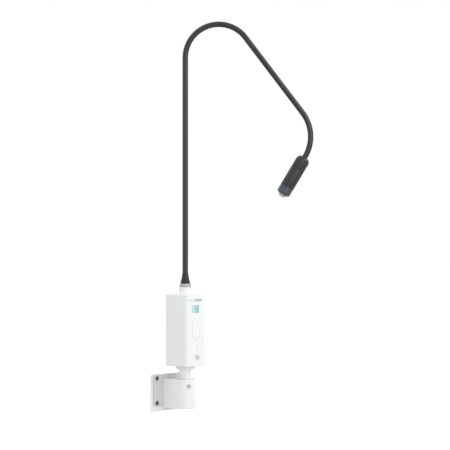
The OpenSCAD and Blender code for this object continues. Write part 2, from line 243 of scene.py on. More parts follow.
def enamel_material():
    """White stoved enamel on the casting, with orange peel."""
    return finish_material(
        "white_enamel", (0.80, 0.80, 0.795), 0.30, mottle=0.015, mottle_scale=14,
        grain=420, grain_depth=0.00003, grain_strength=0.18, coat=0.25,
    ).m


def plate_material(name, colour):
    """Matt powder coat."""
    return finish_material(
        name, colour, 0.48, mottle=0.02, mottle_scale=22,
        grain=1100, grain_depth=0.00004, grain_strength=0.35,
    ).m


def jacket_material():
    """Black sleeve: satin under a soft gloss, slightly streaked along its length."""
    n = finish_material(
        "black_jacket", (0.017, 0.0165, 0.017), 0.50, mottle=0.22, mottle_scale=60,
        rough_spread=0.07, grain=2600, grain_depth=0.00002, grain_strength=0.35,
        use_uv=True, stretch=(1, 0.35, 1), coat=0.8, coat_rough=0.18,
    )
    n.set(Specular_IOR_Level=0.12)
    return n.m


def rubber_material():
    """Dull black rubber with a coarse grain."""
    return finish_material(
        "boot_rubber", (0.016, 0.016, 0.017), 0.58, mottle=0.2, mottle_scale=80,
        grain=1800, grain_depth=0.00003, grain_strength=0.45, sheen=0.05,
    ).m


def metal_material(name, colour, rough, stretch=(1, 1, 1), grain=1400, depth=0.000015):
    """Bare or plated metal; the stretch draws its grain out into lines."""
    return finish_material(
        name, colour, rough, metallic=1.0, mottle=0.05, mottle_scale=40,
        rough_spread=0.07, grain=grain, grain_depth=depth, grain_strength=0.3, stretch=stretch,
    ).m


def plastic_material(name, colour, rough, mottle, mottle_scale, coat=0.0):
    """A moulded plastic with the common grain."""
    return finish_material(name, colour, rough, mottle=mottle, mottle_scale=mottle_scale, coat=coat).m


def head_material():
    """Black anodised barrel with a fine brushed grain."""
    return finish_material(
        "head_black", (0.022, 0.022, 0.023), 0.38, mottle=0.16, mottle_scale=50,
        rough_spread=0.07, grain=1900, grain_depth=0.000015, grain_strength=0.35, use_uv=True,
        stretch=(0.3, 1, 1),
    ).m


def front_ring_material():
    """Blue-grey anodised ring with the same brushed grain, a little glossier."""
    return finish_material(
        "front_ring", (0.045, 0.056, 0.072), 0.30, mottle=0.12, mottle_scale=50,
        rough_spread=0.06, grain=1900, grain_depth=0.000012, grain_strength=0.3, use_uv=True,
        stretch=(0.3, 1, 1), coat=0.3,
    ).m


def lens_material():
    """Pale frosted lens: mostly clear, with a bluish cast and moulded rings."""
    n = Nodes("lens_glass")
    here = n.where(True)
    rings = n.add("ShaderNodeTexWave", wave_type="BANDS", bands_direction="Y")
    rings.inputs["Scale"].default_value = 260
    n.link(here, rings.inputs["Vector"])
    slow = n.noise(n.where(), 90, 2.0, 0.5, 2.2)
    n.link(n.mix(n.remap(slow, 0.3, 0.7, 0, 1), (0.44, 0.51, 0.55), (0.56, 0.62, 0.66)),
           n.s.inputs["Base Color"])
    n.link(n.remap(n.noise(n.where(), 500, 3, 0.5, 5.1), 0.3, 0.7, 0.10, 0.2),
           n.s.inputs["Roughness"])
    n.link(n.bump(rings.outputs["Fac"], 0.15, 0.0001), n.s.inputs["Normal"])
    n.set(Transmission_Weight=0.45, IOR=1.49, Coat_Weight=0.5)
    return n.m


def window_material():
    """Light blue window in two tones, the darker at the right, under a clear front."""
    n = Nodes("blue_window")
    split = low("indicator_window").x + width("indicator_window") * 0.45
    side = n.across(split, 0.0012, 0.0012)
    cloud = n.noise(n.where(), 120, 3.0, 0.5, 1.1)
    left = n.mix(cloud, (0.46, 0.64, 0.71), (0.52, 0.69, 0.76))
    right = n.mix(cloud, (0.31, 0.50, 0.55), (0.38, 0.56, 0.61))
    n.link(n.mix(side, left, right), n.s.inputs["Base Color"])
    n.link(n.remap(n.noise(n.where(), 700, 2, 0.5, 3.0), 0.3, 0.7, 0.12, 0.24),
           n.s.inputs["Roughness"])
    n.link(n.bump(n.noise(n.where(), 1500, 2, 0.5, 6.0), 0.1, 0.00001), n.s.inputs["Normal"])
    n.set(Coat_Weight=0.6)
    return n.m


def strip_material():
    """Printed grey strip in two tones, paler at the left."""
    n = Nodes("printed_strip")
    side = n.across(centre("name_strip").x, 0.006, 0.004)
    cloud = n.noise(n.where(), 300, 3.0, 0.5, 1.1)
    left = n.mix(cloud, (0.62, 0.68, 0.69), (0.70, 0.75, 0.75))
    right = n.mix(cloud, (0.40, 0.43, 0.46), (0.48, 0.51, 0.53))
    n.link(n.mix(side, left, right), n.s.inputs["Base Color"])
    n.link(n.remap(cloud, 0.3, 0.7, 0.4, 0.5), n.s.inputs["Roughness"])
    n.link(n.bump(n.noise(n.where(), 2500, 2, 0.5, 6.0), 0.2, 0.00001), n.s.inputs["Normal"])
    return n.m


def board_material():
    """Green circuit board with paler tracks."""
    n = Nodes("circuit_board")
    cells = n.add("ShaderNodeTexVoronoi", feature="DISTANCE_TO_EDGE", distance="CHEBYCHEV")
    cells.inputs["Scale"].default_value = 260
    n.link(n.where(), cells.inputs["Vector"])
    track = n.remap(cells.outputs["Distance"], 0.04, 0.07, 1.0, 0.0)
    n.link(n.mix(track, (0.02, 0.13, 0.06), (0.04, 0.24, 0.10)), n.s.inputs["Base Color"])
    n.link(n.remap(track, 0, 1, 0.42, 0.3), n.s.inputs["Roughness"])
    n.link(n.bump(track, 0.4, 0.00005), n.s.inputs["Normal"])
    return n.m


CASING = casing_material()
ENAMEL = enamel_material()
PLATE = plate_material("plate_coat", (0.80, 0.80, 0.795))
# the flange's coat is darker grey than the plate and nose, partly a greyer coat and partly painted shade from the
# nose block beside it
FLANGE_PAINTED_SHADE = plate_material("flange_coat_painted_shade", (0.61, 0.61, 0.605))
JACKET = jacket_material()
RUBBER = rubber_material()
STEEL = metal_material("plated_steel", (0.60, 0.61, 0.62), 0.28)
NUT = metal_material("ring_nut_metal", (0.55, 0.56, 0.575), 0.34)
# near-black liners, partly painted shade: their colour stands in for the shade inside the screw holes
LINER_PAINTED_SHADE = plastic_material("black_liner", (0.13, 0.13, 0.135), 0.42, 0.15, 200)
ALLOY = metal_material("plain_alloy", (0.72, 0.73, 0.74), 0.30)
COPPER = metal_material("copper_wire", (0.62, 0.30, 0.14), 0.35, (1, 1, 8), 600, 0.0001)
IRON = metal_material("laminated_iron", (0.22, 0.22, 0.23), 0.45, (1, 12, 1), 300, 0.0001)
HEAD = head_material()
FRONT_RING = front_ring_material()
LENS = lens_material()
WINDOW = window_material()
STRIP = strip_material()
BOARD = board_material()
BUTTON = plastic_material("button_plastic", (0.58, 0.57, 0.56), 0.40, 0.08, 90, coat=0.2)
BLACK_PLASTIC = plastic_material("black_plastic", (0.025, 0.025, 0.027), 0.45, 0.2, 60)
BUSH = plastic_material("bush_plastic", (0.66, 0.665, 0.66), 0.40, 0.03, 50)
CLAMP = metal_material("clamp_screw_metal", (0.50, 0.50, 0.52), 0.38)
CABLE = plastic_material("cable_sheath", (0.42, 0.43, 0.44), 0.5, 0.05, 60)
LED = plastic_material("led_lens", (0.62, 0.60, 0.60), 0.18, 0.08, 200, coat=0.5)

# CAD nodes that are shown as they are, with the material of each
CAD_LOOK = {
    "socket_bush": BUSH, "clamp_screw": CLAMP, "post_tube": ENAMEL,
    "post_flange_nut": STEEL, "base_plate": CASING, "base_screws": STEEL, "name_strip": STRIP,
    "indicator_window": WINDOW, "front_strip": CASING, "status_led": LED, "button_bezel": CASING,
    "power_button": BUTTON, "switch_body": BLACK_PLASTIC, "driver_board": BOARD,
    "board_rails": CASING, "transformer": IRON, "transformer_coil": COPPER, "capacitor": BLACK_PLASTIC,
    "driver_heat_sink": ALLOY, "power_inlet": BLACK_PLASTIC, "arm_ferrule": STEEL, "stalk_tube": STEEL,
    "stalk_cable": CABLE, "lens_seal": RUBBER, "head_reflector": ALLOY, "led_board": BOARD,
    "led_dome": LED, "head_heat_sink": ALLOY,
}
# the width in millimetres of the small bevel on some of them
ROUNDED_CAD = {
    "front_strip": 0.25, "button_bezel": 0.3, "power_button": 0.45, "indicator_window": 0.25,
    "clamp_screw": 0.3, "power_inlet": 0.4, "base_plate": 0.3, "name_strip": 0.08,
    "socket_bush": 0.5,
}
for node_name, look in CAD_LOOK.items():
    cad = NODES[node_name]
    cad.data.materials.clear()
    cad.data.materials.append(look)
for node_name, edge_mm in ROUNDED_CAD.items():
    bevel = NODES[node_name].modifiers.new("edge", "BEVEL")
    bevel.width = edge_mm * MM
    bevel.segments = 2
    bevel.limit_method = "ANGLE"
    bevel.angle_limit = math.radians(40)
    bevel.harden_normals = False

# ---------------------------------------------------------------- mesh helpers


def circle(count, radius):
    """Points on a circle about the origin, anticlockwise."""
    angles = (2 * math.pi * i / count for i in range(count))
    return [Vector((radius * math.cos(a), radius * math.sin(a))) for a in angles]


def weight_normals(obj):
    w = obj.modifiers.new("normals", "WEIGHTED_NORMAL")
    w.keep_sharp = True
    w.weight = 80


def make_object(name, verts, faces, material, smooth=35.0, uvs=None):
    """A mesh object, shaded smooth up to an angle in degrees."""
    mesh = bpy.data.meshes.new(name)
    mesh.from_pydata([tuple(v) for v in verts], [], faces)
    if uvs is not None:
        layer = mesh.uv_layers.new(name="UVMap")
        for loop in mesh.loops:
            layer.data[loop.index].uv = uvs[loop.vertex_index]
    mesh.materials.append(material)
    mesh.validate()
    obj = bpy.data.objects.new(name, mesh)
    bpy.context.scene.collection.objects.link(obj)
    for p in mesh.polygons:
        p.use_smooth = True
    mesh.set_sharp_from_angle(angle=math.radians(smooth))
    return obj


def rings_to_mesh(rings, close_low=True, close_high=True):
    """Faces between rings of the same length, with n-gon ends."""
    n = len(rings[0])
    verts = [v for ring in rings for v in ring]
    faces = []
    for k in range(len(rings) - 1):
        for i in range(n):
            j = (i + 1) % n
            faces.append((k * n + i, k * n + j, (k + 1) * n + j, (k + 1) * n + i))
    if close_low:
        faces.append(tuple(reversed(range(n))))
    if close_high:
        faces.append(tuple(range((len(rings) - 1) * n, len(rings) * n)))
    return verts, faces


def inset(outline, amount):
    """A convex outline, anticlockwise, moved inwards."""
    out = []
    n = len(outline)
    for i in range(n):
        a, b, c = outline[i - 1], outline[i], outline[(i + 1) % n]
        d1, d2 = (b - a).normalized(), (c - b).normalized()
        n1, n2 = Vector((-d1.y, d1.x)), Vector((-d2.y, d2.x))
        m = (n1 + n2).normalized()
        out.append(b + m * (amount / max(0.5, m.dot(n1))))
    return out


def stack(outline, z0, z1, b0, b1, steps=5):
    """Rings of a prism with rounded lower and upper edges."""
    rings = []
    for k in range(steps + 1):
        a = math.pi / 2 * k / steps
        ring = inset(outline, b0 * (1 - math.sin(a)))
        rings.append([Vector((p.x, p.y, z0 + b0 * (1 - math.cos(a)))) for p in ring])
    for k in range(steps + 1):
        a = math.pi / 2 * k / steps
        ring = inset(outline, b1 * (1 - math.cos(a)))
        rings.append([Vector((p.x, p.y, z1 - b1 * (1 - math.sin(a)))) for p in ring])
    return rings


def round_rect(w, d, r, n=8):
    """A rounded rectangle about the origin, anticlockwise."""
    points = []
    for cx, cy, start in (
        (w / 2 - r, d / 2 - r, 0), (-w / 2 + r, d / 2 - r, 90),
        (-w / 2 + r, -d / 2 + r, 180), (w / 2 - r, -d / 2 + r, 270),
    ):
        for k in range(n + 1):
            a = math.radians(start + 90 * k / n)
            points.append(Vector((cx + r * math.cos(a), cy + r * math.sin(a))))
    return points


def placed(rings, matrix):
    return [[matrix @ v for v in ring] for ring in rings]


def drill(radius, start, end, count, matrix):
    """Rings of a plain cylinder along the matrix's Z axis."""
    return [[matrix @ Vector((p.x, p.y, z)) for p in circle(count, radius)] for z in (start, end)]


def fillet(profile, steps):
    """A polyline of (r, h, radius) with each inner corner rounded by its radius."""
    out = []
    for i, (r, h, f) in enumerate(profile):
        p = Vector((r, h))
        if f <= 0 or i in (0, len(profile) - 1):
            out.append(p)
            continue
        a, c = Vector(profile[i - 1][:2]), Vector(profile[i + 1][:2])
        u, v = (a - p).normalized(), (c - p).normalized()
        angle = u.angle(v)
        if angle > math.pi - 0.01:
            out.append(p)
            continue
        t = f / math.tan(angle / 2)
        t = min(t, (a - p).length * 0.49, (c - p).length * 0.49)
        radius = t * math.tan(angle / 2)
        centre = p + (u + v).normalized() * (radius / math.sin(angle / 2))
        s, e = p + u * t - centre, p + v * t - centre
        turn = s.angle_signed(e)
        for k in range(steps + 1):
            rot = Matrix.Rotation(-turn * k / steps, 2)
            out.append(centre + rot @ s)
    return out


def lathe(name, profile, matrix, material, segments=64, smooth=35.0, steps=5):
    """Turns (r, h, corner radius) in metres about the matrix's Z axis."""
    points = fillet(profile, steps)
    rings, uvs, run = [], [], 0.0
    for k, p in enumerate(points):
        if k:
            run += (p - points[k - 1]).length
        ring = []
        for i in range(segments):
            a = 2 * math.pi * i / segments
            ring.append(matrix @ Vector((p.x * math.cos(a), p.x * math.sin(a), p.y)))
            uvs.append((a * ARM_R, run))
        rings.append(ring)
    closed = (points[0] - points[-1]).length < 1e-9
    ends = [p.x > 1e-6 and not closed for p in (points[0], points[-1])]
    verts, faces = rings_to_mesh(rings, *ends)
    obj = make_object(name, verts, faces, material, smooth, uvs)
    weld(obj)
    return obj


def weld(obj):
    """Joins vertices at one place and turns all faces outwards."""
    bm = bmesh.new()
    bm.from_mesh(obj.data)
    bmesh.ops.remove_doubles(bm, verts=bm.verts, dist=1e-7)
    bmesh.ops.dissolve_degenerate(bm, edges=bm.edges, dist=1e-7)
    bmesh.ops.recalc_face_normals(bm, faces=bm.faces)
    bm.to_mesh(obj.data)
    bm.free()


def cutter(rings):
    """A closed body that cut() takes away."""
    verts, faces = rings_to_mesh(rings)
    mesh = bpy.data.meshes.new("cut")
    mesh.from_pydata([tuple(v) for v in verts], [], faces)
    obj = bpy.data.objects.new("cut", mesh)
    bpy.context.scene.collection.objects.link(obj)
    weld(obj)
    return obj


def cut(obj, cutters):
    """Takes each cutter out of the object's mesh for good."""
    for c in cutters:
        b = obj.modifiers.new("cut", "BOOLEAN")
        b.operation, b.solver, b.object = "DIFFERENCE", "EXACT", c
        dg = bpy.context.evaluated_depsgraph_get()
        mesh = bpy.data.meshes.new_from_object(obj.evaluated_get(dg))
        obj.modifiers.clear()
        old = obj.data
        obj.data = mesh
        bpy.data.meshes.remove(old)
        mesh_of_cutter = c.data
        bpy.data.objects.remove(c)
        bpy.data.meshes.remove(mesh_of_cutter)
    bm = bmesh.new()
    bm.from_mesh(obj.data)
    bmesh.ops.dissolve_degenerate(bm, edges=bm.edges, dist=1e-6)
    bm.to_mesh(obj.data)
    bm.free()
    for p in obj.data.polygons:
        p.use_smooth = True
    obj.data.set_sharp_from_angle(angle=math.radians(35))
    weight_normals(obj)


def facing_front(x, y, z):
    """A place whose local Z points away from the wall, out of the box's front face."""
    return Matrix.Translation((x, y, z)) @ Matrix.Rotation(math.radians(90), 4, "X")


def slot_cut(w, h, r, corner_steps, depth, matrix):
    """A cutter with a rounded outline that goes depth along the matrix's Z axis."""
    return cutter(placed(stack(round_rect(w, h, r, corner_steps), 0, depth, 0, 0, 1), matrix))


# ---------------------------------------------------------------- bracket

plate_size = high("wall_plate") - low("wall_plate")
plate_z = centre("wall_plate").z
pattern = next(m["dims"] for m in frame["record"]["mounts"] if m["kind"] == "bolt_pattern")
screw_x, screw_z = pattern["spacing_x_mm"] / 2 * MM, pattern["spacing_y_mm"] / 2 * MM
hole_r = pattern["hole_r_mm"] * MM
liner_r = hole_r + 0.9 * MM
HOLE_GAP = 0.1 * MM
FLANGE_T = 4 * MM
FLANGE_H = 66 * MM
LINER_LIP_H = 1.6 * MM
screw_holes = [(sx * screw_x, sz * screw_z) for sx in (-1, 1) for sz in (-1, 1)]


def front_prism(name, w, h, r, y0, y1, z, material, edge):
    """A rounded plate standing in the XZ plane, from y0 out to y1, with the four screw holes."""
    rings = placed(stack(round_rect(w, h, r), 0, y0 - y1, 0.3 * MM, edge), facing_front(0, y0, z))
    verts, faces = rings_to_mesh(rings)
    obj = make_object(name, verts, faces, material)
    weld(obj)
    hole = stack(circle(32, liner_r + HOLE_GAP), -10 * MM, 20 * MM, 0, 0, 1)
    cut(obj, [cutter(placed(hole, facing_front(hx, y0, hz))) for hx, hz in screw_holes])
    return obj


plate = front_prism("backing_plate", plate_size.x, plate_size.z, 2.5 * MM, 0, -plate_size.y, plate_z,
                    PLATE, 0.7 * MM)
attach(plate, "bracket")
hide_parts("wall_plate")

block_low, block_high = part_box("socket_block")
flange_face = -plate_size.y - FLANGE_T
# the flange takes the darker coat, partly painted shade from the nose block
flange = front_prism("casting_flange", block_high.x - block_low.x, FLANGE_H, 2.0 * MM, -plate_size.y,
                     flange_face, block_high.z - FLANGE_H / 2, FLANGE_PAINTED_SHADE, 1.0 * MM)
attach(flange, "bracket")

# a liner in each hole, with a lip that stands on the flange; the liners' near-black colour is partly a dark liner
# and partly painted shade standing in for the shade inside the screw holes
lip_z = -flange_face
lip_r = liner_r + 1.0 * MM
for k, (x, z) in enumerate(screw_holes):
    liner = lathe(f"hole_liner_{k + 1}", [
        (hole_r, 0.1 * MM, 0), (liner_r, 0.1 * MM, 0.2 * MM), (liner_r, lip_z - 0.02 * MM, 0.05 * MM),
        (lip_r, lip_z + 0.02 * MM, 0.15 * MM), (lip_r, lip_z + LINER_LIP_H, 0.9 * MM),
        (hole_r + 0.95 * MM, lip_z + LINER_LIP_H, 0.15 * MM), (hole_r, lip_z + 0.6 * MM, 0.2 * MM),
        (hole_r, 0.1 * MM, 0)], facing_front(x, 0, z), LINER_PAINTED_SHADE, 40, 35, 4)
    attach(liner, "bracket")
    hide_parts("hole_liners")

# the casting's nose: flat at the flange and half round about the post, open at the top for the bush
NOSE_STEPS = 40
NOSE_INTO_FLANGE = 3 * MM
BUSH_R = 15.1 * MM
BUSH_LIP_H = 2 * MM
SOCKET_FLOOR = 2.5 * MM
CLAMP_HOLE_R = 2.8 * MM
nose_r = POST.y - block_low.y
nose_low, nose_high = block_low.z, high("socket_bush").z - BUSH_LIP_H
outline = [Vector((x, flange_face + NOSE_INTO_FLANGE)) for x in (nose_r, -nose_r)]
for k in range(NOSE_STEPS + 1):
    a = math.pi + math.pi * k / NOSE_STEPS
    outline.append(Vector((nose_r * math.cos(a), POST.y + nose_r * math.sin(a))))
verts, faces = rings_to_mesh(stack(outline, nose_low, nose_high, 1.6 * MM, 1.4 * MM))
block = make_object("socket_casting", verts, faces, ENAMEL)
weld(block)
at_post = Matrix.Translation((POST.x, POST.y, 0))
bore = drill(BUSH_R, nose_low + SOCKET_FLOOR, nose_high + 10 * MM, 64, at_post)
clamp = centre("clamp_screw")
clamp_out = Vector((clamp.x, clamp.y - POST.y, 0)).normalized()
clamp_turn = clamp_out.to_track_quat("Z", "Y").to_matrix().to_4x4()
at_clamp = Matrix.Translation((POST.x, POST.y, clamp.z)) @ clamp_turn
cut(block, [cutter(bore), cutter(drill(CLAMP_HOLE_R, 10 * MM, 30 * MM, 32, at_clamp))])
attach(block, "bracket")
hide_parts("socket_block")

# ---------------------------------------------------------------- power box

CORNER = 7 * MM
WALL = 2.5 * MM
BOTTOM_OPENING = 44 * MM
WINDOW_GAP = 0.4 * MM
POCKET_DEPTH = 0.9 * MM
THROUGH_WALL = 4 * MM
CLEAR = 5 * MM
REAR_CUT = 12 * MM
INLET_HOLE_R = 6.2 * MM
VENTS, VENT_PITCH, VENT_TOP = 7, 5 * MM, 23 * MM
VENT_W, VENT_H, VENT_ROUND = 28 * MM, 2.2 * MM, 1.05 * MM
# width, height and corner radius of the front face's smaller holes
BUTTON_HOLE = (11.5 * MM, 9.5 * MM, 0.5 * MM)
LED_HOLE = (3.3 * MM, 3.3 * MM, 1.64 * MM)
RECESS = (12 * MM, 2.6 * MM, 1.2 * MM)
RECESS_X, MARK_ABOVE_LED = -6 * MM, 15 * MM
PIT_R, PIT_DEPTH = 2 * MM, 0.6 * MM
box_lo, box_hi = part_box("box_shell")
front_y, back_y = box_lo.y, box_hi.y
mid_y = (front_y + back_y) / 2
box_w = box_hi.x - box_lo.x
at_box = Matrix.Translation((0, mid_y, 0))
shell_outline = round_rect(box_w, box_w, CORNER, 10)
shell_rings = placed(stack(shell_outline, box_lo.z, box_hi.z, 1.8 * MM, 0.5 * MM), at_box)
verts, faces = rings_to_mesh(shell_rings)
shell = make_object("box_casing", verts, faces, CASING)
weld(shell)


def upright_cut(w, r, z0, z1):
    """A square hole along the box, w wide."""
    return cutter(placed(stack(round_rect(w, w, r, 4), z0, z1, 0, 0, 1), at_box))


def front_cut(x, z, w, h, r, depth):
    """A pocket or hole in the front face."""
    return slot_cut(w, h, r, 5, depth + CLEAR, facing_front(x, front_y + depth, z))


window, led = centre("indicator_window"), centre("status_led")
button, inlet = centre("button_bezel"), centre("power_inlet")
window_h = high("indicator_window").z - low("indicator_window").z
mark_z = led.z + MARK_ABOVE_LED
to_left = Matrix.Rotation(math.radians(-90), 4, "Y")
at_side = Matrix.Translation((box_lo.x + PIT_DEPTH, mid_y, mark_z)) @ to_left
cuts = [
    # the hollow and the bottom opening
    upright_cut(box_w - 2 * WALL, CORNER - WALL, box_lo.z + WALL, box_hi.z + 2 * CLEAR),
    upright_cut(BOTTOM_OPENING, 4 * MM, box_lo.z - CLEAR, box_lo.z + CLEAR),
    # the window's pocket, the holes for button and light, and the recess under the panel
    front_cut(window.x, window.z, width("indicator_window") + WINDOW_GAP, window_h + WINDOW_GAP,
              0.8 * MM, POCKET_DEPTH),
    front_cut(button.x, button.z, *BUTTON_HOLE, THROUGH_WALL),
    front_cut(led.x, led.z, *LED_HOLE, THROUGH_WALL),
    front_cut(RECESS_X, mark_z, *RECESS, POCKET_DEPTH),
    # the pit in the left face and the inlet's hole in the rear face
    cutter(drill(PIT_R, 0, CLEAR, 32, at_side)),
    cutter(drill(INLET_HOLE_R, 0, REAR_CUT, 64, facing_front(inlet.x, back_y + CLEAR, inlet.z))),
]
for k in range(VENTS):
    at_vent = facing_front(0, back_y + CLEAR, box_hi.z - VENT_TOP - k * VENT_PITCH)
    cuts.append(slot_cut(VENT_W, VENT_H, VENT_ROUND, 5, REAR_CUT, at_vent))
cut(shell, cuts)
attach(shell, "lamp_post")
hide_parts("box_shell")

# coil spring behind the button
spring_lo, spring_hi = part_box("button_spring")
spring_c = centre("button_spring")
WIRE_R = 0.3 * MM
TURNS, TURN_STEPS = 5, 20
END_CLOSING = 0.55
COIL_SLOPE = 0.08
coil_r = width("button_spring") / 2 - WIRE_R
travel = spring_hi.y - spring_lo.y - 2 * WIRE_R
coil_rings = []
for k in range(TURNS * TURN_STEPS + 1):
    f = k / (TURNS * TURN_STEPS)
    a = 2 * math.pi * TURNS * f
    # the end turns lie close together
    y = spring_lo.y + WIRE_R + travel * (f - END_CLOSING * math.sin(2 * math.pi * f) / (2 * math.pi))
    out = Vector((math.cos(a), 0, math.sin(a)))
    along = Vector((-math.sin(a), COIL_SLOPE, math.cos(a))).normalized()
    other = along.cross(out)
    middle = Vector((spring_c.x, y, spring_c.z)) + out * coil_r
    coil_rings.append([middle + out * p.x + other * p.y for p in circle(8, WIRE_R)])
verts, faces = rings_to_mesh(coil_rings)
coil = make_object("spring_coil", verts, faces, STEEL, 50)
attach(coil, "lamp_post")
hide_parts("button_spring")
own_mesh(coil)

# roof: a rounded square that closes to a round neck with a hollow curve
ROOF_POINTS = 128
NECK_R = 13.5 * MM
NECK_EDGE = 0.9 * MM
# height above the box and step in from its outline, in millimetres, up to the start of the slope
ROOF_EDGE = [(0.0, 0.6), (0.15, 0.2), (0.5, 0.0), (0.9, 0.08), (1.3, 0.45), (1.55, 1.1)]
SLOPE_TOP_H = 6 * MM
SLOPE_TOP_R = 19.0 * MM
HOLLOW_R, HOLLOW_TURN = 5.5 * MM, 78
ROOF_STEPS = 8
ARM_GAP = 0.1 * MM


def square_at(angle):
    """Distance from the middle to the rounded square's edge in a direction."""
    c, s = abs(math.cos(angle)), abs(math.sin(angle))
    half, r = box_w / 2, CORNER
    flat = half / max(c, s)
    k = half - r
    if c * flat > k and s * flat > k:
        # meets the corner arc: |t * d - (k, k)| = r
        dot = k * (c + s)
        return dot + math.sqrt(max(0.0, dot * dot - (2 * k * k - r * r)))
    return flat


roof_rings = []


def roof_ring(roundness, radius, z, shrink=0.0):
    """A ring between the box's outline, at roundness 0, and a circle, at 1."""
    ring = []
    for i in range(ROOF_POINTS):
        a = 2 * math.pi * i / ROOF_POINTS
        d = (square_at(a) - shrink) * (1 - roundness) + radius * roundness
        ring.append(Vector((d * math.cos(a), mid_y + d * math.sin(a), z)))
    roof_rings.append(ring)


cap_top = high("top_cap").z
for up, step_in in ROOF_EDGE:
    roof_ring(0, 0, box_hi.z + up * MM, step_in * MM)
slope_start, slope_in = ROOF_EDGE[-1][0] * MM, ROOF_EDGE[-1][1] * MM
for k in range(1, ROOF_STEPS + 1):
    s = k / ROOF_STEPS
    roof_ring(s, SLOPE_TOP_R, box_hi.z + slope_start + (SLOPE_TOP_H - slope_start) * s, slope_in)
for k in range(1, ROOF_STEPS + 1):
    a = math.radians(HOLLOW_TURN) * k / ROOF_STEPS
    r = SLOPE_TOP_R - HOLLOW_R * math.sin(a) * 1.02
    roof_ring(1, max(r, NECK_R), box_hi.z + SLOPE_TOP_H + HOLLOW_R * (1 - math.cos(a)))
for k in range(5):
    a = math.pi / 2 * k / 4
    roof_ring(1, NECK_R - NECK_EDGE * (1 - math.cos(a)), cap_top - NECK_EDGE * (1 - math.sin(a)))
roof_ring(1, ARM_R + ARM_GAP, cap_top)
verts, faces = rings_to_mesh(roof_rings, False, False)
roof = make_object("box_roof", verts, faces, CASING, 40)
weight_normals(roof)
weld(roof)
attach(roof, "lamp_post")
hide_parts("top_cap")

# collar below the box, flared like the real moulding
collar_low, collar_top = low("post_collar").z, high("post_collar").z
collar_hole_r = width("post_tube") / 2 + 0.05 * MM
collar_r = width("post_collar") / 2
collar = lathe("box_collar", [
    (collar_hole_r, collar_top, 0), (collar_r, collar_top, 0.3 * MM),
    (collar_r, collar_low + 2.2 * MM, 1.2 * MM), (collar_r - 3.5 * MM, collar_low, 1.6 * MM),
    (collar_hole_r, collar_low, 0)], at_post, CASING)
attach(collar, "lamp_post")
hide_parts("post_collar")

# ---------------------------------------------------------------- ring nut and boot

NUT_POINTS = 144
KNURLS = 36
KNURL_DEPTH = 0.22 * MM
nut_r = width("ring_nut") / 2
nut_low, nut_high = low("ring_nut").z, high("ring_nut").z
nut_profile = fillet([
    (ARM_R + ARM_GAP, nut_low, 0), (nut_r - 0.6 * MM, nut_low, 0.3 * MM),
    (nut_r, nut_low + 0.7 * MM, 0.3 * MM), (nut_r, nut_low + 3.3 * MM, 0.2 * MM),
    (nut_r - 0.8 * MM, nut_low + 3.7 * MM, 0.2 * MM),
    (nut_r - 0.8 * MM, nut_low + 4.4 * MM, 0.2 * MM), (nut_r - 0.2 * MM, nut_low + 4.8 * MM, 0.2 * MM),
    (nut_r - 0.3 * MM, nut_high - 0.6 * MM, 0.4 * MM), (nut_r - 1.3 * MM, nut_high, 0.3 * MM),
    (ARM_R + ARM_GAP, nut_high, 0)], 3)
nut_rings = []
for p in nut_profile:
    on_band = nut_low + 0.8 * MM < p.y < nut_low + 3.2 * MM or abs(p.x - nut_r) < 0.01 * MM
    depth = KNURL_DEPTH if on_band else 0.0
    ring = []
    for i in range(NUT_POINTS):
        a = 2 * math.pi * i / NUT_POINTS
        r = p.x - depth * (0.5 - 0.5 * math.cos(a * KNURLS))
        ring.append(Vector((POST.x + r * math.cos(a), POST.y + r * math.sin(a), p.y)))
    nut_rings.append(ring)
verts, faces = rings_to_mesh(nut_rings, False, False)
nut = make_object("knurled_ring", verts, faces, NUT, 45)
weld(nut)
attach(nut, "lamp_post")
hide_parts("ring_nut")

BOOT_GROOVES, GROOVE_PITCH, GROOVE_START = 3, 3.6 * MM, 7.6 * MM
BOOT_TAPER = 0.165
boot_r = width("arm_boot") / 2
z0, top = low("arm_boot").z, high("arm_boot").z
boot_profile = [
    (ARM_R + ARM_GAP, z0, 0), (boot_r - 0.3 * MM, z0, 0.3 * MM), (boot_r, z0 + 0.8 * MM, 0.4 * MM),
    (boot_r, z0 + 5.6 * MM, 0.9 * MM), (boot_r - 1.1 * MM, z0 + 6.8 * MM, 0.5 * MM)]
for k in range(BOOT_GROOVES):
    h = z0 + GROOVE_START + k * GROOVE_PITCH
    r = boot_r - 1.3 * MM - k * GROOVE_PITCH * BOOT_TAPER
    boot_profile += [(r, h, 0.3 * MM), (r - 0.45 * MM, h + 0.5 * MM, 0.2 * MM),
                     (r - 0.5 * MM, h + 1.1 * MM, 0.2 * MM), (r - 0.25 * MM, h + 1.6 * MM, 0.3 * MM)]
boot_profile += [(ARM_R + 0.75 * MM, top - 0.6 * MM, 0.5 * MM), (ARM_R + 0.15 * MM, top, 0.2 * MM),
                 (ARM_R + 0.05 * MM, top - 1.5 * MM, 0)]
boot = lathe("strain_boot", boot_profile, at_post, RUBBER, 64, 40, 3)
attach(boot, "lamp_post")
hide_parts("arm_boot")

# ---------------------------------------------------------------- arm

RING_STEP = 0.64 * MM
RIPPLE = 0.045 * MM
RIPPLE_PITCH = 2.56 * MM
SLEEVE_POINTS = 40
STALK_STEP = 4 * MM
STALK_INTO_NUT = 1 * MM
LED_BOARD_FROM_REAR = 56.8 * MM
NECK_INTO_HEAD = 1.5 * MM
SIDE = BEND_AXIS.normalized()
joint_at = [Vector(j["pos_m"]) for j in NECK_JOINTS]
# the head's axis runs through the last joint and the middle of the light-source board
board = centre("led_board")
HEAD_AXIS = (board - joint_at[-1]).normalized()
HEAD_REAR = board - HEAD_AXIS * LED_BOARD_FROM_REAR
# each sleeve runs from the middle of one link to the middle of the next
mids = [joint_at[0] - UP * ((joint_at[1] - joint_at[0]).length / 2)]
for a, b in zip(joint_at, joint_at[1:]):
    mids.append((a + b) / 2)
mids.append(HEAD_REAR + HEAD_AXIS * NECK_INTO_HEAD)


